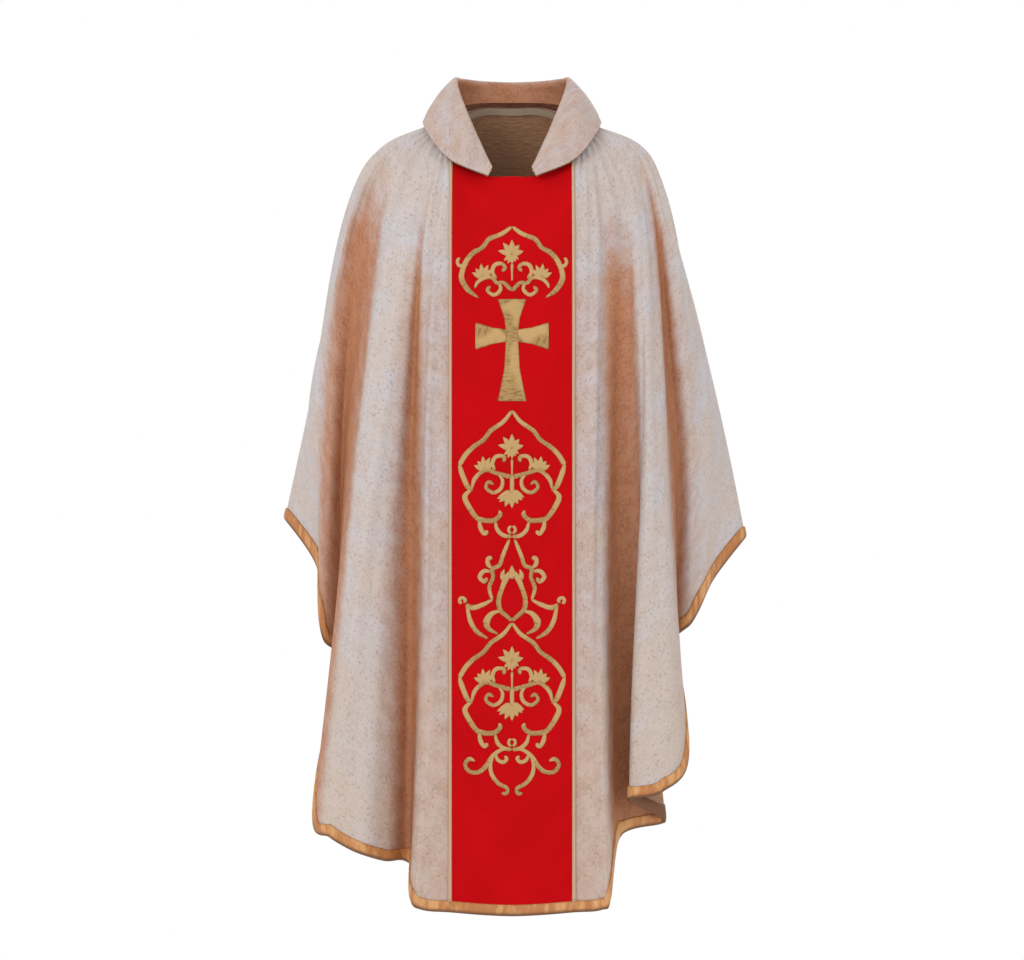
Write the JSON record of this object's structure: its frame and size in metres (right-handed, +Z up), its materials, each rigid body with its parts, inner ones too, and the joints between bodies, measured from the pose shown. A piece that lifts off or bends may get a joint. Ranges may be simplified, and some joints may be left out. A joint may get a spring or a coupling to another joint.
{
  "type": "chasuble",
  "caption": "Lined vestment of pleated brocade with an embroidered centre band front and back, bound hems and a wide fold-over collar, hanging from the shoulders.",
  "frame": {"origin": "centre of the base of the wearer's neck, level with the outer corners of the collar, where the garment hangs from the shoulders", "axes": "+Z up, the front faces -Y, the wearer's left hand is towards +X"},
  "size_m": [0.7417, 0.3681, 1.3383],
  "materials": {
    "brocade": "cream and silver woven brocade with a low sheen",
    "lining": "warm beige lining cloth",
    "orphrey_red": "red fine rib cloth",
    "piping": "beige and gold cord",
    "gold_satin": "gold satin bias binding",
    "gold_thread": "satin stitch in gold thread",
    "tape": "plain cotton tape"
  },
  "bodies": {
    "root": {"front_left_cloth": "brocade", "front_left_lining": "lining", "front_right_cloth": "brocade", "front_right_lining": "lining", "back_left_cloth": "brocade", "back_left_lining": "lining", "back_right_cloth": "brocade", "back_right_lining": "lining", "front_orphrey": "orphrey_red", "front_hem_binding": "gold_satin", "front_neck_tape": "tape", "front_left_piping": "piping", "front_right_piping": "piping", "front_crest": "gold_thread", "front_cross": "gold_thread", "front_upper_medallion": "gold_thread", "front_link": "gold_thread", "front_lower_medallion": "gold_thread", "front_tail_scrolls": "gold_thread", "back_orphrey": "orphrey_red", "back_hem_binding": "gold_satin", "back_neck_tape": "tape", "back_left_piping": "piping", "back_right_piping": "piping", "back_crest": "gold_thread", "back_cross": "gold_thread", "back_upper_medallion": "gold_thread", "back_link": "gold_thread", "back_lower_medallion": "gold_thread", "back_tail_scrolls": "gold_thread", "left_shoulder_stay": "tape", "right_shoulder_stay": "tape", "collar_fall": "brocade", "collar_facing": "lining", "collar_stand": "brocade"},
    "left_drape": {"left_side_front_cloth": "brocade", "left_side_front_lining": "lining", "left_side_front_binding": "gold_satin", "left_side_back_cloth": "brocade", "left_side_back_lining": "lining", "left_side_back_binding": "gold_satin"},
    "right_drape": {"right_side_front_cloth": "brocade", "right_side_front_lining": "lining", "right_side_front_binding": "gold_satin", "right_side_back_cloth": "brocade", "right_side_back_lining": "lining", "right_side_back_binding": "gold_satin"}
  },
  "joints": [
    {"name": "left_drape_lift", "type": "hinge", "parent": "root", "child": "left_drape", "pos_m": [-0.2, 0, -0.01], "axis": [0, 1, 0], "range_deg": [0, 26]},
    {"name": "right_drape_lift", "type": "hinge", "parent": "root", "child": "right_drape", "pos_m": [0.2, 0, -0.01], "axis": [0, -1, 0], "range_deg": [0, 26]}
  ]
}
